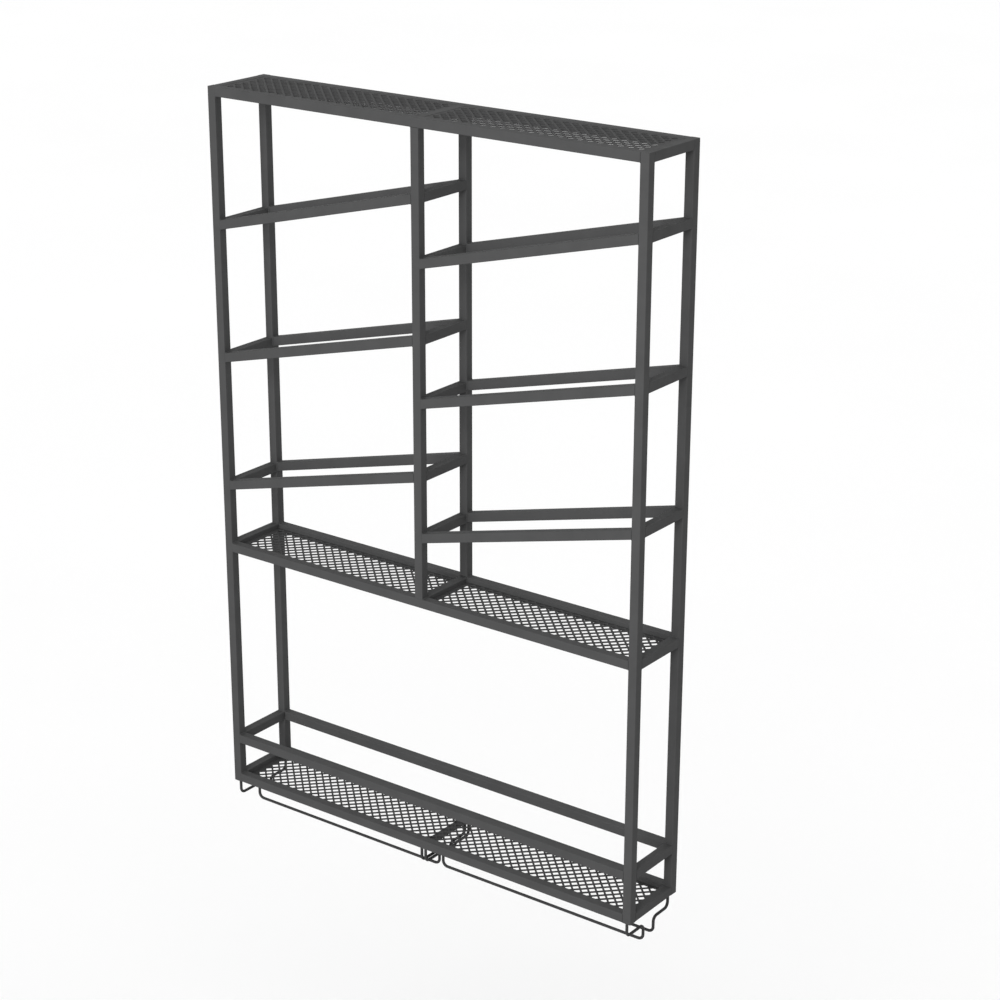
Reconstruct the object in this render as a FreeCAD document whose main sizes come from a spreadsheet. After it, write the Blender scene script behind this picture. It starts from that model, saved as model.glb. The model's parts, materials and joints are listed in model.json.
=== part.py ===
"""Wall-hung bottle shelf with a glass rack: a welded frame of square tube, six sloped open shelves,
perforated sheets and four bent wires.

The row frame is in millimetres, +Z up. The origin is the centre of the four wall fixings, in the
plane of the wall: X runs to the right along the shelf, and -Y points out of the wall to the front.
"""
import FreeCAD
import Part
import Sketcher
import math
import os

DRIVING_SIZES = [
    ("frame_width", 1366, "outside width over the corner posts"),
    ("frame_height", 2000, "outside height of the tube frame"),
    ("frame_depth", 218, "outside depth, front face to wall"),
    ("tube_size", 25, "outside of the square tube"),
    ("tube_wall", 1.5, "wall of the square tube"),
    ("tube_corner", 2, "outside corner radius of the square tube"),
    ("cap_thickness", 2, "plate that closes a corner post"),
    ("middle_top", 734, "top of the middle frame above the frame's bottom"),
    ("guard_top", 148, "top of the guard loop above the frame's bottom"),
    ("shelf_slope", 14, "slope of the six open shelves, in degrees, rising to the right"),
    ("shelf_first", 918, "low end of the lowest shelf's top face above the frame's bottom"),
    ("shelf_pitch", 365, "height from one sloped shelf to the next"),
    ("sheet_thickness", 3, "perforated sheet"),
    ("base_seat", 6, "underside of the base sheet above the frame's bottom"),
    ("middle_seat", 9.5, "underside of the middle sheets above the middle frame's bottom"),
    ("sheet_inset", 1, "top sheets below the top face of their frame"),
    ("sheet_margin", 2.5, "least plain margin between a hole and a tube"),
    ("hole_side", 15, "side of a square hole"),
    ("hole_pitch", 20, "pitch of the holes along the slanting rows"),
    ("strip_width", 25, "flat bar under the middle of the base sheet"),
    ("wire_radius", 4, "glass-rack wire"),
    ("wire_bend", 15, "bend radius on the wire's centre line"),
    ("wire_step", 44.5, "depth of the wires' first bend below the frame"),
    ("wire_depth", 89.5, "depth of the long runs below the frame"),
    ("left_wire_inset", 12, "left bay's outer wire ends, from the frame's end"),
    ("right_wire_inset", 18, "right bay's outer wire ends, from the frame's end"),
    ("wire_end_gap", 13, "spacing of the two bays' wire ends at the middle"),
    ("front_run_inset", 90, "front wire's long run, from the front face"),
    ("rear_run_inset", 80, "rear wire's long run, from the wall"),
    ("fixing_height", 1100, "centre of the wall fixings above the frame's bottom"),
    ("fixing_spacing", 1500, "height between the upper and lower wall fixings"),
    ("insert_length", 14, "threaded insert in a rear post"),
    ("insert_radius", 5.5, "outside of a threaded insert"),
    ("insert_bore", 4, "bore of a threaded insert"),
    ("insert_collar", 7, "radius of the clinched collar behind the tube wall"),
    ("collar_length", 3, "length of the clinched collar"),
]

UPRIGHT = FreeCAD.Rotation()
ALONG_X = FreeCAD.Rotation(FreeCAD.Vector(1, 1, 1), 120)
ALONG_Y = FreeCAD.Rotation(FreeCAD.Vector(1, 1, 1), -120)
ORIGIN_POINT = (-1, 1)

doc = FreeCAD.newDocument("bottle_shelf")
sheet = doc.addObject("Spreadsheet::Sheet", "sizes")
for row, (alias, value, note) in enumerate(DRIVING_SIZES, start=1):
    sheet.set(f"A{row}", alias)
    sheet.set(f"B{row}", str(value))
    sheet.set(f"C{row}", note)
    sheet.setAlias(f"B{row}", alias)
doc.recompute()

nodes = []
tube_pads = []


def size(alias):
    """Give a driving size as a plain number."""
    return float(sheet.get(alias))


TUBE = size("tube_size")
HALF_TUBE = TUBE / 2
WIDTH = size("frame_width")
DEPTH = size("frame_depth")
BOTTOM = -size("fixing_height")
TOP = BOTTOM + size("frame_height")
LEFT = -WIDTH / 2
RIGHT = WIDTH / 2
FRONT = -DEPTH
FRONT_AXIS = FRONT + HALF_TUBE
REAR_AXIS = -HALF_TUBE
INNER_FRONT = FRONT + TUBE
END_AXIS = RIGHT - HALF_TUBE
MIDDLE_TOP = BOTTOM + size("middle_top")
SLOPE = math.radians(size("shelf_slope"))
BAY_WIDTH = (WIDTH - 3 * TUBE) / 2
HALF_PITCH = size("hole_pitch") * math.sqrt(2) / 2
HALF_HOLE = size("hole_side") * math.sqrt(2) / 2

POST_LENGTH = "sizes.frame_height - 2 * sizes.cap_thickness"
CENTRE_POST_LENGTH = "sizes.frame_height - sizes.middle_top - sizes.tube_size"
RAIL_LENGTH = "sizes.frame_width - 2 * sizes.tube_size"
BAR_LENGTH = "sizes.frame_depth - 2 * sizes.tube_size"
BAY_LENGTH = "(sizes.frame_width - 3 * sizes.tube_size) / 2"
STEEP = "cos(sizes.shelf_slope)"
RISE = "tan(sizes.shelf_slope)"


def new_body(name):
    """Start a sub-part as a PartDesign body of its own."""
    body = doc.addObject("PartDesign::Body", name)
    body.Label = name
    nodes.append(body)
    return body


def new_sketch(body, plane, name):
    """Start a sketch on one of the body's own origin planes."""
    sketch = body.newObject("Sketcher::SketchObject", name)
    support = next(item for item in body.Origin.OriginFeatures if item.Role == plane)
    sketch.AttachmentSupport = (support, [""])
    sketch.MapMode = "FlatFace"
    return sketch


def bind(sketch, kind, points, label, expression):
    """Add a named dimension to a sketch and bind it to the sheet."""
    index = sketch.addConstraint(Sketcher.Constraint(kind, *points, 10.0))
    sketch.renameConstraint(index, label)
    sketch.setExpression(f"Constraints.{label}", expression)


def draw_rectangle(sketch, label, width, height, start_half):
    """Draw a rectangle about the sketch's origin, with both sides bound to the sheet."""
    first = len(sketch.Geometry)
    corners = [FreeCAD.Vector(x * start_half, y * start_half, 0)
               for x, y in ((-1, -1), (1, -1), (1, 1), (-1, 1))]
    for index in range(4):
        sketch.addGeometry(Part.LineSegment(corners[index], corners[(index + 1) % 4]), False)
    for index in range(4):
        following = first + (index + 1) % 4
        sketch.addConstraint(Sketcher.Constraint("Coincident", first + index, 2, following, 1))
    for index in (0, 2):
        sketch.addConstraint(Sketcher.Constraint("Horizontal", first + index))
        sketch.addConstraint(Sketcher.Constraint("Vertical", first + index + 1))
    sketch.addConstraint(Sketcher.Constraint("Symmetric", first, 1, first + 2, 1, *ORIGIN_POINT))
    bind(sketch, "DistanceX", (first, 1, first, 2), f"{label}_width", width)
    bind(sketch, "DistanceY", (first + 1, 1, first + 1, 2), f"{label}_height", height)


def add_tube(name, length, start, rotation, slope=False):
    """Make a square tube that starts at a point and runs along one axis of the row.

    A sloped tube climbs as it runs along X, and its ends are cut upright, so its section in the
    upright plane is taller than the tube by the slope's cosine.
    """
    body = new_body(name)
    tall = f" / {STEEP}" if slope else ""
    profile = new_sketch(body, "XY_Plane", f"{name}_profile")
    draw_rectangle(profile, "outer", "sizes.tube_size", f"sizes.tube_size{tall}", 10)
    bore = "(sizes.tube_size - 2 * sizes.tube_wall)"
    draw_rectangle(profile, "inner", bore, f"{bore}{tall}", 8)
    pad = body.newObject("PartDesign::Pad", f"{name}_pad")
    pad.Profile = profile
    pad.AlongSketchNormal = True
    pad.setExpression("Length", length)
    if slope:
        pad.UseCustomVector = True
        pad.Direction = FreeCAD.Vector(0, 1, 1)
        pad.setExpression("Direction.y", RISE)
    tube_pads.append((body, pad))
    body.Placement = FreeCAD.Placement(FreeCAD.Vector(*start), rotation)
    return body


def round_tube_corners():
    """Give every tube the rounded long corners of drawn square tube."""
    for body, pad in tube_pads:
        outer_corners = []
        for index, edge in enumerate(pad.Shape.Edges, start=1):
            middle = edge.CenterOfMass
            along = edge.Length > 2 * size("tube_size")
            if along and math.isclose(abs(middle.x), HALF_TUBE, abs_tol=0.1):
                outer_corners.append(f"Edge{index}")
        rounding = body.newObject("PartDesign::Fillet", f"{body.Name}_corners")
        rounding.Base = (pad, outer_corners)
        rounding.setExpression("Radius", "sizes.tube_corner")


def add_wall_holes(body):
    """Drill the two holes for the threaded inserts through a rear post's back wall only."""
    sketch = new_sketch(body, "XZ_Plane", f"{body.Name}_hole_sketch")
    for label, offset in (("lower", -0.5), ("upper", 0.5)):
        height = size("fixing_height") + offset * size("fixing_spacing") - size("cap_thickness")
        circle = Part.Circle(FreeCAD.Vector(0, height, 0), FreeCAD.Vector(0, 0, 1), 5)
        index = sketch.addGeometry(circle, False)
        sketch.addConstraint(Sketcher.Constraint("PointOnObject", index, 3, -2))
        above = f"sizes.fixing_height + {offset} * sizes.fixing_spacing - sizes.cap_thickness"
        bind(sketch, "DistanceY", (*ORIGIN_POINT, index, 3), f"{label}_height", above)
        bind(sketch, "Radius", (index,), f"{label}_radius", "sizes.insert_radius")
    pocket = body.newObject("PartDesign::Pocket", f"{body.Name}_holes")
    pocket.Profile = sketch
    pocket.Type = "ThroughAll"


def add_posts():
    """Stand the four corner posts, and the two centre posts above the middle frame."""
    floor = BOTTOM + size("cap_thickness")
    for side, x in (("left", -END_AXIS), ("right", END_AXIS)):
        add_tube(f"post_front_{side}", POST_LENGTH, (x, FRONT_AXIS, floor), UPRIGHT)
        rear_post = add_tube(f"post_rear_{side}", POST_LENGTH, (x, REAR_AXIS, floor), UPRIGHT)
        rear_posts.append(rear_post)
    for face, y in (("front", FRONT_AXIS), ("rear", REAR_AXIS)):
        add_tube(f"centre_post_{face}", CENTRE_POST_LENGTH, (0, y, MIDDLE_TOP), UPRIGHT)


def add_level_frame(name, top, bars):
    """Join front and rear rails with bars to make one level loop of tube."""
    axis_height = top - HALF_TUBE
    for face, y in (("front", FRONT_AXIS), ("rear", REAR_AXIS)):
        add_tube(f"{name}_rail_{face}", RAIL_LENGTH, (LEFT + TUBE, y, axis_height), ALONG_X)
    for side, x in bars:
        add_tube(f"{name}_bar_{side}", BAR_LENGTH, (x, INNER_FRONT, axis_height), ALONG_Y)


def add_sloped_shelf(name, low_x, low_top):
    """Make one open shelf: two climbing rails and a level bar at each end, between the posts."""
    climb = BAY_WIDTH * math.tan(SLOPE)
    half_end_climb = HALF_TUBE * math.tan(SLOPE)
    rail_axis = low_top - HALF_TUBE / math.cos(SLOPE)
    for face, y in (("front", FRONT_AXIS), ("rear", REAR_AXIS)):
        add_tube(f"{name}_rail_{face}", BAY_LENGTH, (low_x, y, rail_axis), ALONG_X, slope=True)
    low_axis = low_top - half_end_climb - HALF_TUBE
    high_axis = low_top + climb + half_end_climb - HALF_TUBE
    high_x = low_x + BAY_WIDTH
    add_tube(f"{name}_bar_low", BAR_LENGTH, (low_x - HALF_TUBE, INNER_FRONT, low_axis), ALONG_Y)
    add_tube(f"{name}_bar_high", BAR_LENGTH, (high_x + HALF_TUBE, INNER_FRONT, high_axis), ALONG_Y)


def add_base_strip():
    """Lay the flat bar that carries the base sheet from the front rail to the rear rail."""
    strip = doc.addObject("Part::Box", "base_strip_centre")
    strip.Label = "base_strip_centre"
    strip.setExpression("Length", "sizes.strip_width")
    strip.setExpression("Width", BAR_LENGTH)
    strip.setExpression("Height", "sizes.base_seat")
    strip.Placement.Base = FreeCAD.Vector(-size("strip_width") / 2, INNER_FRONT, BOTTOM)
    nodes.append(strip)


def last_step_within(distance):
    """Count the half pitches from the frame's middle to the last hole inside a distance."""
    return int((distance - HALF_HOLE) / HALF_PITCH)


def first_step_beyond(distance):
    """Count the half pitches from the frame's middle to the first hole outside a distance."""
    return math.ceil((distance + HALF_HOLE) / HALF_PITCH)


def draw_first_hole(sketch, column, row, centre_expression):
    """Draw the corner hole of a grid: a square that stands on its corner.

    Its column and row are counted in half pitches from the middle of the whole frame.
    """
    left, right, low, high = [FreeCAD.Vector(x, y, 0)
                              for x, y in ((-20, -15), (-10, -15), (-15, -20), (-15, -10))]
    for start, end in ((left, low), (low, right), (right, high), (high, left)):
        sketch.addGeometry(Part.LineSegment(start, end), False)
    centre = sketch.addGeometry(Part.Point(FreeCAD.Vector(-15, -15, 0)), True)
    for index in range(4):
        sketch.addConstraint(Sketcher.Constraint("Coincident", index, 2, (index + 1) % 4, 1))
    sketch.addConstraint(Sketcher.Constraint("Symmetric", 0, 1, 2, 1, centre, 1))
    sketch.addConstraint(Sketcher.Constraint("Symmetric", 1, 1, 3, 1, centre, 1))
    sketch.addConstraint(Sketcher.Constraint("Horizontal", 0, 1, centre, 1))
    sketch.addConstraint(Sketcher.Constraint("Vertical", 1, 1, centre, 1))
    diagonal = "sizes.hole_side * sqrt(2)"
    bind(sketch, "DistanceX", (0, 1, 2, 1), "across", diagonal)
    bind(sketch, "DistanceY", (1, 1, 3, 1), "upright", diagonal)
    half_pitch = "sizes.hole_pitch * sqrt(2) / 2"
    to_middle_x = f"{centre_expression} - ({column}) * {half_pitch}"
    to_middle_y = f"-({row}) * {half_pitch}"
    bind(sketch, "DistanceX", (centre, 1, *ORIGIN_POINT), "to_middle_x", to_middle_x)
    bind(sketch, "DistanceY", (centre, 1, *ORIGIN_POINT), "to_middle_y", to_middle_y)


def punch_grid(body, label, columns, rows, centre_expression):
    """Cut one hole through a sheet and repeat it in columns and rows."""
    sketch = new_sketch(body, "XY_Plane", f"{body.Name}_{label}_sketch")
    draw_first_hole(sketch, columns[0], rows[0], centre_expression)
    pocket = body.newObject("PartDesign::Pocket", f"{body.Name}_{label}_hole")
    pocket.Profile = sketch
    pocket.Type = "ThroughAll"
    pocket.Midplane = True
    grid = body.newObject("PartDesign::LinearPattern", f"{body.Name}_{label}_grid")
    grid.Originals = [pocket]
    grid.Direction = (sketch, ["H_Axis"])
    grid.Direction2 = (sketch, ["V_Axis"])
    grid.Mode = "Spacing"
    grid.Mode2 = "Spacing"
    grid.setExpression("Offset", "sizes.hole_pitch * sqrt(2)")
    grid.setExpression("Offset2", "sizes.hole_pitch * sqrt(2)")
    grid.Occurrences = len(columns)
    grid.Occurrences2 = len(rows)
    body.Tip = grid


def add_perforated_sheet(name, length, centre, columns, underside):
    """Make a sheet with square holes in slanting rows, welded in between the tubes.

    The centre is the sheet's own middle to the right of the frame's middle, as a number and as an
    expression. The holes of neighbouring sheets keep in step, so columns is the range of half
    pitches from the frame's middle.
    """
    centre_x, centre_expression = centre
    body = new_body(name)
    outline = new_sketch(body, "XY_Plane", f"{name}_outline")
    draw_rectangle(outline, "sheet", length, BAR_LENGTH, 50)
    pad = body.newObject("PartDesign::Pad", f"{name}_pad")
    pad.Profile = outline
    pad.setExpression("Length", "sizes.sheet_thickness")
    last_row = last_step_within(DEPTH / 2 - TUBE - size("sheet_margin"))
    rows = range(-last_row, last_row + 1)
    for label, parity in (("even", 0), ("odd", 1)):
        grid_columns = [column for column in columns if column % 2 == parity]
        grid_rows = [row for row in rows if row % 2 == parity]
        punch_grid(body, label, grid_columns, grid_rows, centre_expression)
    body.Placement.Base = FreeCAD.Vector(centre_x, -DEPTH / 2, underside)


def rounded_path(points, radius):
    """Join points with straight runs and tangent arcs of one radius."""
    edges = []
    start = points[0]
    for before, corner, after in zip(points, points[1:], points[2:]):
        into = (corner - before).normalize()
        out_of = (after - corner).normalize()
        turn = into.getAngle(out_of)
        setback = radius * math.tan(turn / 2)
        arc_start = corner - into * setback
        arc_end = corner + out_of * setback
        inward = (out_of - into).normalize()
        arc_middle = corner + inward * (radius / math.cos(turn / 2) - radius)
        edges.append(Part.LineSegment(start, arc_start).toShape())
        edges.append(Part.Arc(arc_start, arc_middle, arc_end).toShape())
        start = arc_end
    edges.append(Part.LineSegment(start, points[-1]).toShape())
    return Part.Wire(edges)


def add_glass_wire(name, ends_x, weld_y, run_y):
    """Bend one wire of the glass rack: down from the frame, inward, down again and along the bay."""
    step_height = BOTTOM - size("wire_step")
    run_height = BOTTOM - size("wire_depth")
    start_x, end_x = ends_x
    points = [
        FreeCAD.Vector(start_x, weld_y, BOTTOM),
        FreeCAD.Vector(start_x, weld_y, step_height),
        FreeCAD.Vector(start_x, run_y, step_height),
        FreeCAD.Vector(start_x, run_y, run_height),
        FreeCAD.Vector(end_x, run_y, run_height),
        FreeCAD.Vector(end_x, run_y, step_height),
        FreeCAD.Vector(end_x, weld_y, step_height),
        FreeCAD.Vector(end_x, weld_y, BOTTOM),
    ]
    spine = doc.addObject("Part::Feature", f"{name}_spine")
    spine.Shape = rounded_path(points, size("wire_bend"))
    section = doc.addObject("Part::Circle", f"{name}_section")
    section.setExpression("Radius", "sizes.wire_radius")
    section.Placement = FreeCAD.Placement(points[0], FreeCAD.Rotation())
    wire = doc.addObject("Part::Sweep", name)
    wire.Label = name
    wire.Sections = [section]
    wire.Spine = (spine, [f"Edge{index + 1}" for index in range(len(spine.Shape.Edges))])
    wire.Solid = True
    wire.Frenet = False
    expected = math.pi * size("wire_radius") ** 2 * spine.Shape.Length
    wires_to_measure.append((wire, expected))
    nodes.append(wire)


def add_group(name, members):
    """Keep several solids of one kind together as one sub-part."""
    group = doc.addObject("Part::Compound", name)
    group.Label = name
    group.Links = members
    nodes.append(group)


def add_glass_rack():
    """Hang a front and a rear wire under each bay, with the gap between them for glass stems."""
    left_end = LEFT + size("left_wire_inset")
    right_end = RIGHT - size("right_wire_inset")
    inner = size("wire_end_gap") / 2
    front_run = FRONT + size("front_run_inset")
    rear_run = -size("rear_run_inset")
    for side, ends_x in (("left", (left_end, -inner)), ("right", (inner, right_end))):
        add_glass_wire(f"glass_wire_{side}_front", ends_x, FRONT_AXIS, front_run)
        add_glass_wire(f"glass_wire_{side}_rear", ends_x, REAR_AXIS, rear_run)


def add_cylinder(name, radius, length, base):
    """Make a cylinder that runs forwards from the wall plane, along -Y."""
    cylinder = doc.addObject("Part::Cylinder", name)
    cylinder.setExpression("Radius", radius)
    cylinder.setExpression("Height", length)
    cylinder.Placement = FreeCAD.Placement(base, FreeCAD.Rotation(FreeCAD.Vector(1, 0, 0), 90))
    return cylinder


def add_wall_inserts():
    """Clinch four threaded inserts into the back walls of the rear posts, flush with the wall."""
    inserts = []
    for side, x in (("left", -END_AXIS), ("right", END_AXIS)):
        for level, z in (("lower", -size("fixing_spacing") / 2), ("upper", size("fixing_spacing") / 2)):
            name = f"insert_{level}_{side}"
            mouth = FreeCAD.Vector(x, 0, z)
            behind_wall = FreeCAD.Vector(x, -size("tube_wall"), z)
            barrel = add_cylinder(f"{name}_barrel", "sizes.insert_radius", "sizes.insert_length", mouth)
            collar = add_cylinder(f"{name}_collar", "sizes.insert_collar", "sizes.collar_length",
                                  behind_wall)
            bore = add_cylinder(f"{name}_bore", "sizes.insert_bore", "sizes.insert_length", mouth)
            outside = doc.addObject("Part::Fuse", f"{name}_outside")
            outside.Base = barrel
            outside.Tool = collar
            insert = doc.addObject("Part::Cut", name)
            insert.Base = outside
            insert.Tool = bore
            inserts.append(insert)
    add_group("wall_fixing_inserts", inserts)


def add_post_caps():
    """Close both ends of each corner post with a small welded plate."""
    plates = []
    for side, x in (("left", LEFT), ("right", RIGHT - TUBE)):
        for face, y in (("front", FRONT), ("rear", -TUBE)):
            for level, z in (("bottom", BOTTOM), ("top", TOP - size("cap_thickness"))):
                plate = doc.addObject("Part::Box", f"cap_{level}_{face}_{side}_plate")
                plate.setExpression("Length", "sizes.tube_size")
                plate.setExpression("Width", "sizes.tube_size")
                plate.setExpression("Height", "sizes.cap_thickness")
                plate.Placement.Base = FreeCAD.Vector(x, y, z)
                plates.append(plate)
    doc.recompute()
    rounded = []
    for plate in plates:
        upright = [index for index, edge in enumerate(plate.Shape.Edges, start=1)
                   if abs(edge.tangentAt(edge.FirstParameter).z) > 0.9]
        cap = doc.addObject("Part::Fillet", plate.Name.replace("_plate", ""))
        cap.Base = plate
        cap.Edges = [(index, size("tube_corner"), size("tube_corner")) for index in upright]
        rounded.append(cap)
    add_group("post_end_caps", rounded)


rear_posts = []
wires_to_measure = []

add_posts()
end_bars = [("left", -END_AXIS), ("right", END_AXIS)]
all_bars = end_bars + [("centre", 0)]
add_level_frame("top", TOP, all_bars)
add_level_frame("middle", MIDDLE_TOP, all_bars)
add_level_frame("guard", BOTTOM + size("guard_top"), end_bars)
add_level_frame("base", BOTTOM + TUBE, end_bars)
for bay, low_end in (("left", LEFT + TUBE), ("right", HALF_TUBE)):
    for level in range(3):
        low_shelf_top = BOTTOM + size("shelf_first") + level * size("shelf_pitch")
        add_sloped_shelf(f"{bay}_shelf_{level + 1}", low_end, low_shelf_top)
doc.recompute()
round_tube_corners()
doc.recompute()
for post in rear_posts:
    solid_before = post.Shape.Volume
    add_wall_holes(post)
    doc.recompute()
    removed = solid_before - post.Shape.Volume
    expected_chips = 2 * math.pi * size("insert_radius") ** 2 * size("tube_wall")
    assert math.isclose(removed, expected_chips, rel_tol=0.02), (post.Label, removed)

add_base_strip()
inner_column = first_step_beyond(HALF_TUBE + size("sheet_margin"))
outer_column = last_step_within(RIGHT - TUBE - size("sheet_margin"))
bay_centre = (BAY_WIDTH + TUBE) / 2
bay_centre_expression = "(sizes.frame_width - sizes.tube_size) / 4"
bay_sheets = [
    ("left", (-bay_centre, f"-{bay_centre_expression}"), range(-outer_column, -inner_column + 1)),
    ("right", (bay_centre, bay_centre_expression), range(inner_column, outer_column + 1)),
]
top_seat = TOP - size("sheet_inset") - size("sheet_thickness")
middle_seat = MIDDLE_TOP - TUBE + size("middle_seat")
for bay, centre, columns in bay_sheets:
    add_perforated_sheet(f"top_sheet_{bay}", BAY_LENGTH, centre, columns, top_seat)
    add_perforated_sheet(f"middle_sheet_{bay}", BAY_LENGTH, centre, columns, middle_seat)
whole_width = range(-outer_column, outer_column + 1)
add_perforated_sheet("base_sheet", RAIL_LENGTH, (0, "0"), whole_width, BOTTOM + size("base_seat"))
add_glass_rack()
add_wall_inserts()
add_post_caps()
doc.recompute()

for item in doc.Objects:
    assert "Invalid" not in item.State and "Error" not in item.State, (item.Label, item.State)
for node in nodes:
    assert not node.Shape.isNull() and node.Shape.isValid(), node.Label
for wire, expected in wires_to_measure:
    assert math.isclose(wire.Shape.Volume, expected, rel_tol=0.01), wire.Label

os.makedirs("parts", exist_ok=True)
for node in nodes:
    node.Shape.exportStep(os.path.join("parts", f"{node.Label}.step"))
print(f"{len(nodes)} sub-parts written")
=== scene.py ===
"""Looks of the wall-hung bottle shelf: coated tube, perforated sheets, glass wires and welds.

Everything is in metres in the row frame: the wall is the plane y = 0, the open front faces -Y and
+Z is up. Places are worked out from the boxes and the end faces of the CAD nodes.
"""

import bmesh
import bpy
import json
import math
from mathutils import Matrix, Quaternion, Vector, noise


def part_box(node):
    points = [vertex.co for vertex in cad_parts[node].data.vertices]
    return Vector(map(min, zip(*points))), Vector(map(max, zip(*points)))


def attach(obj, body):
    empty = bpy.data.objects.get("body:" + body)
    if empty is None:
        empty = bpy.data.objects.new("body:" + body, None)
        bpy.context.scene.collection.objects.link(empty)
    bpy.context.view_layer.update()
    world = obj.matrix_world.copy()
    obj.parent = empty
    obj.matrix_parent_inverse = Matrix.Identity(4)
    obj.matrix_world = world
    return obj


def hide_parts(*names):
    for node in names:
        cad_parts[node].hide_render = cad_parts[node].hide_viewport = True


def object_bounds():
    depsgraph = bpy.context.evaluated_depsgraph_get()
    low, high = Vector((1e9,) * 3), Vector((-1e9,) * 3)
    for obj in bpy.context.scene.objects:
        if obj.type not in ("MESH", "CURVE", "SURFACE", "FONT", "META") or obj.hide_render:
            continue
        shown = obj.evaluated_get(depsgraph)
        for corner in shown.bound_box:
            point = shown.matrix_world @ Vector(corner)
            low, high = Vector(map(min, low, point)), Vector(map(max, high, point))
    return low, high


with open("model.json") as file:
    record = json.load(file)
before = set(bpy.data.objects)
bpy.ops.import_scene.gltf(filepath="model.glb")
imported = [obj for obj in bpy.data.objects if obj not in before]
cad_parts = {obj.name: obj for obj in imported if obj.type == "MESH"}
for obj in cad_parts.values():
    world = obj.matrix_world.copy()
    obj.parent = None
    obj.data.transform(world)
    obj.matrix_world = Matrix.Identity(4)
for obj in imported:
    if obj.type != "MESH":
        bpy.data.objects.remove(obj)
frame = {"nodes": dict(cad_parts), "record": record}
cad_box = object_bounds()
NODES = frame["nodes"]

TUBE_CORNER = 0.002

HOLE_SIDE = 0.015
HOLE_PITCH = 0.020
HOLE_CORNER = 0.0009
LEAST_MARGIN = 0.0025
SHEET_RIM = 0.0004

WIRE_RADIUS = 0.004
WIRE_BEND = 0.015
WIRE_STEP = 0.0445

WELD_LEG = 0.0022
WELD_RIPPLE = 0.0026
RIPPLE_SWELL = 0.07
UNEVEN_SWELL = 0.12
UNEVEN_SCALE = 160
END_TAPER = 0.35
BEAD_FLATNESS = 0.78
BEAD_CROWN = 0.05
COLLAR_FLARE = 1.6
COLLAR_UNEVEN = 0.0002
COLLAR_UNEVEN_SCALE = 300
COLLAR_UNEVEN_REACH = 0.01
STITCH_LENGTH = 0.018
STITCH_SPACING = 0.16

THREAD_PITCH = 0.00125
THREAD_DEPTH = 0.0006
THREAD_LEAD_IN = 0.001
THREAD_ROOT = 0.45
THREAD_CREST = 0.08
INSERT_BORE = 0.004
INSERT_LENGTH = 0.014
INSERT_COLLAR = 0.007

VIEW_AZIMUTH = math.radians(36.55)
VIEW_ELEVATION = math.radians(20.31)
VIEW_ROLL = math.radians(0.171)
VIEW_DISTANCE = 5.9516
VIEW_TARGET = Vector((0.2643, -0.218, -0.0315))
VIEW_LENS = 85.65
VIEW_SENSOR = 36

NOISE_LOW = 0.3
NOISE_HIGH = 0.7
COAT_GLOSS = 0.2
COAT_DARKEST = 0.93
COAT_LIGHTEST = 1.07
COAT_PATCHINESS = 0.05
ORANGE_PEEL_HEIGHT = 0.00008
GRAIN_HEIGHT = 0.00002
ZINC_DARKEST = 0.8
SCRATCH_HEIGHT = 0.00001

FLOOR_DROP = 0.9
FLOOR_SIZE = 60
SURROUND_LIGHT = 1.03
LIGHT_DISTANCE = 10
LIGHT_SIZE = 5


# Materials

def new_material(name):
    """Start a node material and give its node tree and its shader."""
    material = bpy.data.materials.new(name)
    material.use_nodes = True
    tree = material.node_tree
    shader = next(node for node in tree.nodes if node.type == "BSDF_PRINCIPLED")
    return material, tree, shader


def add_noise(tree, place, scale, detail):
    """Add a noise texture read in metres of the row frame."""
    texture = tree.nodes.new("ShaderNodeTexNoise")
    texture.inputs["Scale"].default_value = scale
    texture.inputs["Detail"].default_value = detail
    tree.links.new(place.outputs["Object"], texture.inputs["Vector"])
    return texture.outputs["Fac"]


def add_spread(tree, source, lowest, highest):
    """Stretch the useful middle of a noise to a range of values."""
    spread = tree.nodes.new("ShaderNodeMapRange")
    spread.inputs["From Min"].default_value = NOISE_LOW
    spread.inputs["From Max"].default_value = NOISE_HIGH
    spread.inputs["To Min"].default_value = lowest
    spread.inputs["To Max"].default_value = highest
    tree.links.new(source, spread.inputs["Value"])
    return spread.outputs["Result"]


def add_colour_spread(tree, source, dark, light):
    """Blend between two colours by a noise."""
    blend = tree.nodes.new("ShaderNodeMix")
    blend.data_type = "RGBA"
    blend.inputs["A"].default_value = (*dark, 1)
    blend.inputs["B"].default_value = (*light, 1)
    tree.links.new(add_spread(tree, source, 0, 1), blend.inputs["Factor"])
    return blend.outputs["Result"]


def add_bump(tree, source, distance, below=None):
    """Add a bump of a given height in metres, on top of another one."""
    bump = tree.nodes.new("ShaderNodeBump")
    bump.inputs["Strength"].default_value = 1
    bump.inputs["Distance"].default_value = distance
    tree.links.new(source, bump.inputs["Height"])
    if below:
        tree.links.new(below, bump.inputs["Normal"])
    return bump.outputs["Normal"]


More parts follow.
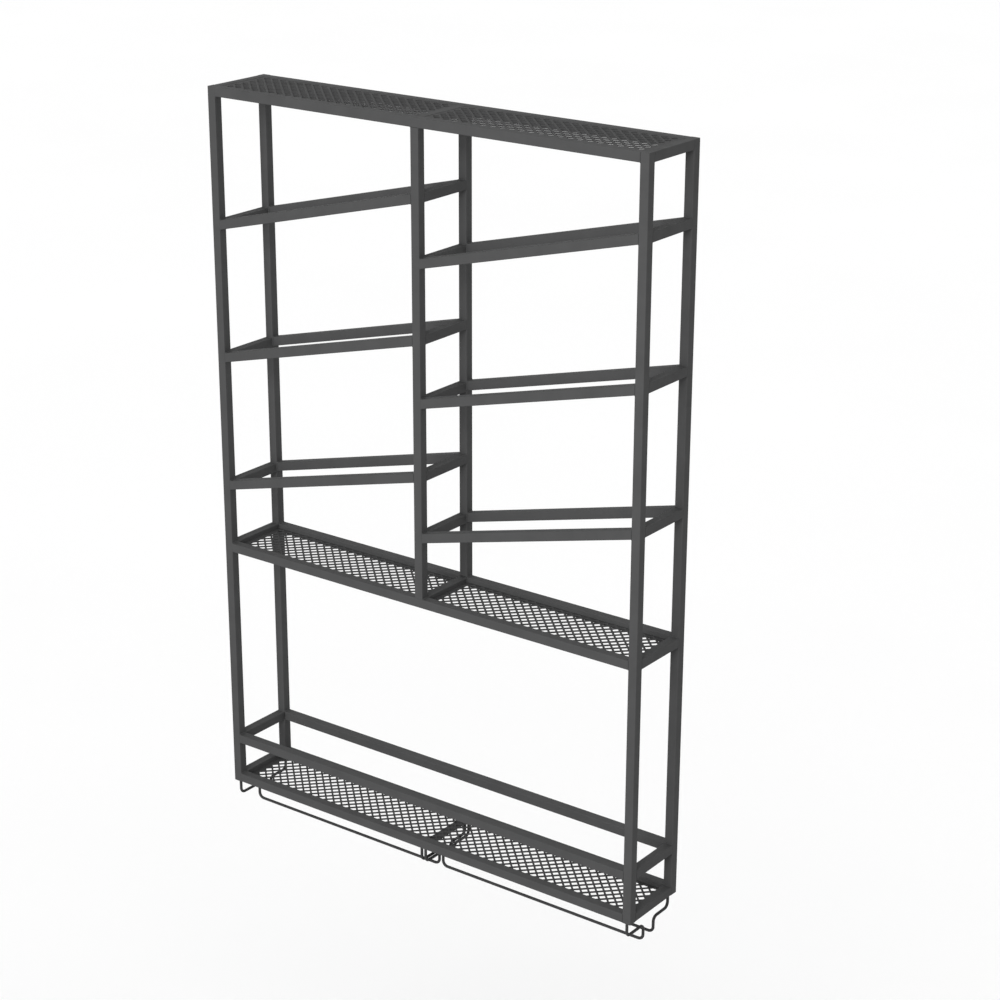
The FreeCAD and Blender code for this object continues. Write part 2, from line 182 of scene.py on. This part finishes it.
def powder_coat(name, colour, roughness):
    """Matt powder coat: slow drifts of tone, an orange-peel skin and a fine grain."""
    material, tree, shader = new_material(name)
    shader.inputs["Specular IOR Level"].default_value = COAT_GLOSS
    place = tree.nodes.new("ShaderNodeTexCoord")
    tone = add_noise(tree, place, scale=14, detail=4)
    dark = [channel * COAT_DARKEST for channel in colour]
    light = [channel * COAT_LIGHTEST for channel in colour]
    tree.links.new(add_colour_spread(tree, tone, dark, light), shader.inputs["Base Color"])
    patches = add_noise(tree, place, scale=55, detail=3)
    patchy = add_spread(tree, patches, roughness - COAT_PATCHINESS, roughness + COAT_PATCHINESS)
    tree.links.new(patchy, shader.inputs["Roughness"])
    ripples = add_noise(tree, place, scale=420, detail=2)
    orange_peel = add_bump(tree, ripples, ORANGE_PEEL_HEIGHT)
    specks = add_noise(tree, place, scale=2200, detail=2)
    grain = add_bump(tree, specks, GRAIN_HEIGHT, below=orange_peel)
    tree.links.new(grain, shader.inputs["Normal"])
    return material


def zinc_plate(name, colour):
    """Zinc-plated steel with a faint bloom."""
    material, tree, shader = new_material(name)
    place = tree.nodes.new("ShaderNodeTexCoord")
    bloom = add_noise(tree, place, scale=300, detail=4)
    dark = [channel * ZINC_DARKEST for channel in colour]
    tree.links.new(add_colour_spread(tree, bloom, dark, colour), shader.inputs["Base Color"])
    tree.links.new(add_spread(tree, bloom, lowest=0.28, highest=0.45), shader.inputs["Roughness"])
    shader.inputs["Metallic"].default_value = 1
    lines = add_noise(tree, place, scale=3000, detail=2)
    tree.links.new(add_bump(tree, lines, SCRATCH_HEIGHT), shader.inputs["Normal"])
    return material


def pale_floor(name):
    """Plain white studio floor."""
    material, tree, shader = new_material(name)
    place = tree.nodes.new("ShaderNodeTexCoord")
    tone = add_noise(tree, place, scale=0.6, detail=2)
    white = add_colour_spread(tree, tone, (0.965, 0.965, 0.965), (0.975, 0.975, 0.975))
    tree.links.new(white, shader.inputs["Base Color"])
    shader.inputs["Roughness"].default_value = 0.9
    shader.inputs["Specular IOR Level"].default_value = 0.1
    return material


COATS = {
    "frame": powder_coat("frame_powder_coat", (0.034, 0.0342, 0.0345), 0.78),
    "sheet": powder_coat("sheet_powder_coat", (0.028, 0.0282, 0.0284), 0.78),
    "wire": powder_coat("wire_powder_coat", (0.02, 0.0201, 0.0203), 0.7),
    "insert": zinc_plate("insert_zinc", (0.62, 0.62, 0.6)),
}


def dress_cad_nodes():
    """Give every CAD node the coat of its material slot."""
    slots = {part["node"]: part["material_slot"] for part in frame["record"]["subparts"]}
    for name, node in NODES.items():
        node.data.materials.clear()
        node.data.materials.append(COATS[slots[name]])


# Pieces

def add_piece(name, mesh, slot, *replaced):
    """Turn a mesh into a piece of the object, in the coat of its slot."""
    piece = bpy.data.objects.new(name, mesh)
    bpy.context.scene.collection.objects.link(piece)
    mesh.materials.clear()
    mesh.materials.append(COATS[slot])
    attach(piece, "root")
    if replaced:
        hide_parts(*replaced)


def mesh_of_curve(curve):
    """Turn a curve into a mesh, and clear the curve away."""
    holder = bpy.data.objects.new(curve.name, curve)
    bpy.context.scene.collection.objects.link(holder)
    evaluated = holder.evaluated_get(bpy.context.evaluated_depsgraph_get())
    mesh = bpy.data.meshes.new_from_object(evaluated)
    bpy.data.objects.remove(holder)
    return mesh


def add_closed_line(curve, points):
    """Add one closed line of straight runs to a curve."""
    line = curve.splines.new("POLY")
    line.points.add(len(points) - 1)
    for point, (x, y) in zip(line.points, points):
        point.co = (x, y, 0, 1)
    line.use_cyclic_u = True


def hole_outline(centre_x, centre_y):
    """Give the outline of a square hole that stands on its corner, with its corners rounded."""
    tip = HOLE_SIDE / math.sqrt(2) - HOLE_CORNER * math.sqrt(2)
    steps = 3
    outline = []
    for quarter in range(4):
        facing = -quarter * math.pi / 2
        corner_x = centre_x + tip * math.cos(facing)
        corner_y = centre_y + tip * math.sin(facing)
        for step in range(steps + 1):
            angle = facing + math.pi / 4 - step / steps * math.pi / 2
            outline.append((corner_x + HOLE_CORNER * math.cos(angle),
                            corner_y + HOLE_CORNER * math.sin(angle)))
    return outline


def hole_centres(low, high, middle):
    """Give the holes of the common lattice that fit on a sheet with some margin round them."""
    half_pitch = HOLE_PITCH / math.sqrt(2)
    reach = HOLE_SIDE / math.sqrt(2) + LEAST_MARGIN
    columns = range(math.ceil((low.x + reach - middle.x) / half_pitch),
                    math.floor((high.x - reach - middle.x) / half_pitch) + 1)
    rows = range(math.ceil((low.y + reach - middle.y) / half_pitch),
                 math.floor((high.y - reach - middle.y) / half_pitch) + 1)
    return [(middle.x + column * half_pitch, middle.y + row * half_pitch)
            for column in columns for row in rows if (column + row) % 2 == 0]


def add_perforated_sheet(node):
    """Make a sheet with soft coated rims round its holes, in place of the plain CAD sheet."""
    low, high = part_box(node)
    whole_low, whole_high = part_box("base_sheet")
    curve = bpy.data.curves.new(f"{node}_outline", "CURVE")
    curve.dimensions = "2D"
    curve.fill_mode = "BOTH"
    curve.extrude = (high.z - low.z) / 2 - SHEET_RIM
    curve.bevel_depth = SHEET_RIM
    curve.bevel_resolution = 1
    curve.offset = -SHEET_RIM
    add_closed_line(curve, [(low.x, low.y), (high.x, low.y), (high.x, high.y), (low.x, high.y)])
    for centre_x, centre_y in hole_centres(low, high, (whole_low + whole_high) / 2):
        add_closed_line(curve, hole_outline(centre_x, centre_y))
    mesh = mesh_of_curve(curve)
    for vertex in mesh.vertices:
        vertex.co.z += (low.z + high.z) / 2
    add_piece(f"{node}_coated", mesh, "sheet", node)


def bent_path(points, radius, steps):
    """Join points with straight runs and arcs of one radius."""
    path = [points[0]]
    for before, corner, after in zip(points, points[1:], points[2:]):
        into = (corner - before).normalized()
        out_of = (after - corner).normalized()
        centre = corner + (out_of - into) * radius
        for step in range(steps + 1):
            turn = step / steps * math.pi / 2
            path.append(centre - out_of * radius * math.cos(turn) + into * radius * math.sin(turn))
    path.append(points[-1])
    return path


def add_glass_wire(node, is_front):
    """Bend one smooth round wire, from the frame down, inward, down again and along the bay."""
    low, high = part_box(node)
    front_y = low.y + WIRE_RADIUS
    rear_y = high.y - WIRE_RADIUS
    weld_y, run_y = (front_y, rear_y) if is_front else (rear_y, front_y)
    left_x, right_x = low.x + WIRE_RADIUS, high.x - WIRE_RADIUS
    run_z = low.z + WIRE_RADIUS
    step_z = high.z - WIRE_STEP
    corners = [(weld_y, high.z), (weld_y, step_z), (run_y, step_z), (run_y, run_z)]
    down = [Vector((left_x, y, z)) for y, z in corners]
    up = [Vector((right_x, y, z)) for y, z in reversed(corners)]
    path = bent_path(down + up, WIRE_BEND, steps=10)
    curve = bpy.data.curves.new(f"{node}_line", "CURVE")
    curve.dimensions = "3D"
    curve.bevel_depth = WIRE_RADIUS
    curve.bevel_resolution = 6
    curve.use_fill_caps = True
    line = curve.splines.new("POLY")
    line.points.add(len(path) - 1)
    for point, place in zip(line.points, path):
        point.co = (*place, 1)
    mesh = mesh_of_curve(curve)
    mesh.shade_smooth()
    add_piece(f"{node}_bent", mesh, "wire", node)
    add_wire_welds(f"{node}_welds", (down[0], up[-1]))


def add_glass_rack():
    """Hang a front and a rear wire under each bay."""
    for bay in ("left", "right"):
        add_glass_wire(f"glass_wire_{bay}_front", True)
        add_glass_wire(f"glass_wire_{bay}_rear", False)


# Welds

def add_bead(work, start, end, along, away, leg):
    """Lay a rippled weld bead in the corner between two faces.

    The corner runs from start to end. One face leaves it in the direction along, and the other in
    the direction away.
    """
    length = (end - start).length
    ripples = max(2, round(length / WELD_RIPPLE))
    sections = ripples * 4
    arc_steps = 5
    rings = []
    for section in range(sections + 1):
        share = section / sections
        middle = start.lerp(end, share)
        swell = RIPPLE_SWELL * math.sin(share * ripples * math.tau)
        swell += UNEVEN_SWELL * noise.noise(middle * UNEVEN_SCALE)
        nearest_end = min(share, 1 - share) * length
        taper = min(1, nearest_end / leg + END_TAPER)
        reach = leg * (1 + swell) * taper
        ring = [work.verts.new(middle)]
        for step in range(arc_steps + 1):
            turn = step / arc_steps * math.pi / 2
            bulge = BEAD_FLATNESS + BEAD_CROWN * math.sin(2 * turn)
            side = math.cos(turn) ** (1 / bulge) * along + math.sin(turn) ** (1 / bulge) * away
            ring.append(work.verts.new(middle + side * reach))
        rings.append(ring)
    for first, second in zip(rings, rings[1:]):
        count = len(first)
        for index in range(count):
            following = (index + 1) % count
            work.faces.new((first[index], first[following], second[following], second[index]))
    work.faces.new(rings[0][::-1])
    work.faces.new(rings[-1])


def end_face(node, axis, at_high_end):
    """Give the lowest and highest corner of a tube's end face."""
    tolerance = 1e-5
    places = [vertex.co for vertex in NODES[node].data.vertices]
    pick = max if at_high_end else min
    plane = pick(place[axis] for place in places)
    on_plane = [place for place in places if abs(place[axis] - plane) < tolerance]
    low = Vector([min(place[index] for place in on_plane) for index in range(3)])
    high = Vector([max(place[index] for place in on_plane) for index in range(3)])
    return low, high


def holds_point(box, point):
    """Say if a point is inside a box."""
    low, high = box
    return all(low[index] < point[index] < high[index] for index in range(3))


def weld_tube_end(work, node, axis, at_high_end, neighbours):
    """Weld the edges of a tube's end wherever the neighbour's face goes on past the tube."""
    low, high = end_face(node, axis, at_high_end)
    far_low, far_high = end_face(node, axis, not at_high_end)
    outward = Vector((0, 0, 0))
    outward[axis] = 1 if at_high_end else -1
    for side_axis in range(3):
        if side_axis == axis:
            continue
        edge_axis = 3 - axis - side_axis
        for is_high_side in (False, True):
            away = Vector((0, 0, 0))
            away[side_axis] = 1 if is_high_side else -1
            start, end = low.copy(), high.copy()
            near = high if is_high_side else low
            far = far_high if is_high_side else far_low
            start[side_axis] = end[side_axis] = near[side_axis]
            start[axis] = end[axis] = near[axis]
            start[edge_axis] += TUBE_CORNER / 2
            end[edge_axis] -= TUBE_CORNER / 2
            beyond = (start + end) / 2 + away * WELD_LEG + outward * WELD_LEG
            if not any(holds_point(box, beyond) for box in neighbours):
                continue
            along = Vector((0, 0, 0))
            along[axis] = far[axis] - near[axis]
            along[side_axis] = far[side_axis] - near[side_axis]
            add_bead(work, start, end, along.normalized(), away, WELD_LEG)


def longest_axis(node):
    """Give the index of the axis that a tube runs along."""
    low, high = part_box(node)
    size = high - low
    return max(range(3), key=lambda index: size[index])


def finish_mesh(work, name):
    """Close a bmesh into a smooth mesh."""
    bmesh.ops.recalc_face_normals(work, faces=work.faces)
    mesh = bpy.data.meshes.new(name)
    work.to_mesh(mesh)
    work.free()
    mesh.shade_smooth()
    return mesh


def add_tube_welds():
    """Weld both ends of every tube, one piece of beads to a tube."""
    others = ("sheet", "wire", "caps", "inserts", "strip")
    tubes = [name for name in sorted(NODES) if not any(word in name for word in others)]
    straight = [name for name in tubes if "shelf" not in name or "bar" in name]
    for tube in tubes:
        axis = longest_axis(tube)
        neighbours = [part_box(name) for name in straight if name != tube]
        work = bmesh.new()
        for at_high_end in (False, True):
            weld_tube_end(work, tube, axis, at_high_end, neighbours)
        if work.faces:
            add_piece(f"{tube}_welds", finish_mesh(work, f"{tube}_welds"), "frame")
        else:
            work.free()


def add_sheet_stitches(node):
    """Tack a sheet's long edges to the tubes from below with short beads."""
    low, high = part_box(node)
    work = bmesh.new()
    count = round((high.x - low.x) / STITCH_SPACING)
    for index in range(count):
        middle_x = low.x + (index + 0.5) * (high.x - low.x) / count
        for edge_y, inward in ((low.y, 1), (high.y, -1)):
            start = Vector((middle_x - STITCH_LENGTH / 2, edge_y, low.z))
            end = Vector((middle_x + STITCH_LENGTH / 2, edge_y, low.z))
            add_bead(work, start, end, Vector((0, inward, 0)), Vector((0, 0, -1)), WELD_LEG)
    add_piece(f"{node}_stitches", finish_mesh(work, f"{node}_stitches"), "frame")


def add_wire_welds(name, wire_tops):
    """Lay a small collar of weld round each end of a wire, where it meets the frame."""
    work = bmesh.new()
    turns, levels = 24, 6
    for top in wire_tops:
        rings = []
        for level in range(levels + 1):
            drop = level / levels
            ring = []
            for turn in range(turns):
                angle = turn / turns * math.tau
                facing = Vector((math.cos(angle), math.sin(angle), 0))
                spot = (top + facing * COLLAR_UNEVEN_REACH) * COLLAR_UNEVEN_SCALE
                reach = WIRE_RADIUS + WELD_LEG * (1 - drop) ** COLLAR_FLARE
                reach += COLLAR_UNEVEN * noise.noise(spot)
                ring.append(work.verts.new(top + facing * reach - Vector((0, 0, drop * WELD_LEG))))
            rings.append(ring)
        for first, second in zip(rings, rings[1:]):
            for turn in range(turns):
                following = (turn + 1) % turns
                work.faces.new((first[turn], first[following], second[following], second[turn]))
        work.faces.new(rings[0])
        work.faces.new(rings[-1][::-1])
    add_piece(name, finish_mesh(work, name), "wire")


# Wall fixings

def add_insert_threads():
    """Wind a helical ridge inside each of the four wall inserts, for an internal thread."""
    low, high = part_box("wall_fixing_inserts")
    mouth_y = high.y
    work = bmesh.new()
    steps = 20
    turns = int((INSERT_LENGTH - 2 * THREAD_LEAD_IN) / THREAD_PITCH)
    for x in (low.x + INSERT_COLLAR, high.x - INSERT_COLLAR):
        for z in (low.z + INSERT_COLLAR, high.z - INSERT_COLLAR):
            rings = []
            for step in range(turns * steps + 1):
                angle = step / steps * math.tau
                facing = Vector((math.cos(angle), 0, math.sin(angle)))
                depth = THREAD_LEAD_IN + step / steps * THREAD_PITCH
                centre = Vector((x, mouth_y - depth, z))
                profile = [(INSERT_BORE, -THREAD_ROOT),
                           (INSERT_BORE - THREAD_DEPTH, -THREAD_CREST),
                           (INSERT_BORE - THREAD_DEPTH, THREAD_CREST),
                           (INSERT_BORE, THREAD_ROOT)]
                rings.append([
                    work.verts.new(centre + facing * reach + Vector((0, shift * THREAD_PITCH, 0)))
                    for reach, shift in profile])
            for first, second in zip(rings, rings[1:]):
                for index in range(4):
                    following = (index + 1) % 4
                    work.faces.new((first[index], first[following],
                                    second[following], second[index]))
            work.faces.new(rings[0][::-1])
            work.faces.new(rings[-1])
    add_piece("insert_threads", finish_mesh(work, "insert_threads"), "insert")


# Stage, lights and camera

def add_floor():
    """Lay a plain pale floor well below the hanging shelf."""
    work = bmesh.new()
    bmesh.ops.create_grid(work, x_segments=8, y_segments=8, size=FLOOR_SIZE / 2)
    mesh = bpy.data.meshes.new("floor")
    work.to_mesh(mesh)
    work.free()
    floor = bpy.data.objects.new("floor", mesh)
    bpy.context.scene.collection.objects.link(floor)
    floor.location.z = cad_box[0].z - FLOOR_DROP
    mesh.materials.append(pale_floor("floor_white"))
    return floor


def add_light(name, azimuth, elevation, power, spared):
    """Aim a soft square light at the shelf, and leave one object unlit by it.

    The azimuth is in degrees to the right of straight in front.
    """
    light = bpy.data.lights.new(name, "AREA")
    light.shape = "SQUARE"
    light.size = LIGHT_SIZE
    light.energy = power
    holder = bpy.data.objects.new(name, light)
    bpy.context.scene.collection.objects.link(holder)
    turn, rise = math.radians(azimuth), math.radians(elevation)
    back = Vector((math.sin(turn) * math.cos(rise),
                   -math.cos(turn) * math.cos(rise), math.sin(rise)))
    holder.location = (cad_box[0] + cad_box[1]) / 2 + back * LIGHT_DISTANCE
    holder.rotation_mode = "QUATERNION"
    holder.rotation_quaternion = back.to_track_quat("Z", "Y")
    unlit = bpy.data.collections.new(f"{name}_spares")
    unlit.objects.link(spared)
    unlit.collection_objects[0].light_linking.link_state = "EXCLUDE"
    holder.light_linking.receiver_collection = unlit
    return holder


def add_world(strength):
    """Surround the scene with even white light."""
    world = bpy.data.worlds.new("studio")
    world.use_nodes = True
    background = next(node for node in world.node_tree.nodes if node.type == "BACKGROUND")
    background.inputs["Color"].default_value = (1, 1, 1, 1)
    background.inputs["Strength"].default_value = strength
    bpy.context.scene.world = world


def add_camera():
    """Look from the right and from above, with a long lens."""
    camera = bpy.data.cameras.new("camera")
    camera.lens = VIEW_LENS
    camera.sensor_width = VIEW_SENSOR
    camera.dof.use_dof = False
    holder = bpy.data.objects.new("camera", camera)
    bpy.context.scene.collection.objects.link(holder)
    back = Vector((math.sin(VIEW_AZIMUTH) * math.cos(VIEW_ELEVATION),
                   -math.cos(VIEW_AZIMUTH) * math.cos(VIEW_ELEVATION), math.sin(VIEW_ELEVATION)))
    holder.location = VIEW_TARGET + back * VIEW_DISTANCE
    holder.rotation_mode = "QUATERNION"
    roll = Quaternion((0, 0, 1), VIEW_ROLL)
    holder.rotation_quaternion = back.to_track_quat("Z", "Y") @ roll
    bpy.context.scene.camera = holder


dress_cad_nodes()
for name in sorted(NODES):
    if "sheet" in name:
        add_perforated_sheet(name)
        add_sheet_stitches(name)
add_glass_rack()
add_tube_welds()
add_insert_threads()
white_floor = add_floor()
add_world(SURROUND_LIGHT)
add_light("key", azimuth=12, elevation=22, power=1350, spared=white_floor)
back_light = add_light("back", azimuth=-170, elevation=10, power=500, spared=white_floor)
back_light.visible_glossy = False
add_camera()
bpy.context.scene.view_settings.view_transform = "Standard"
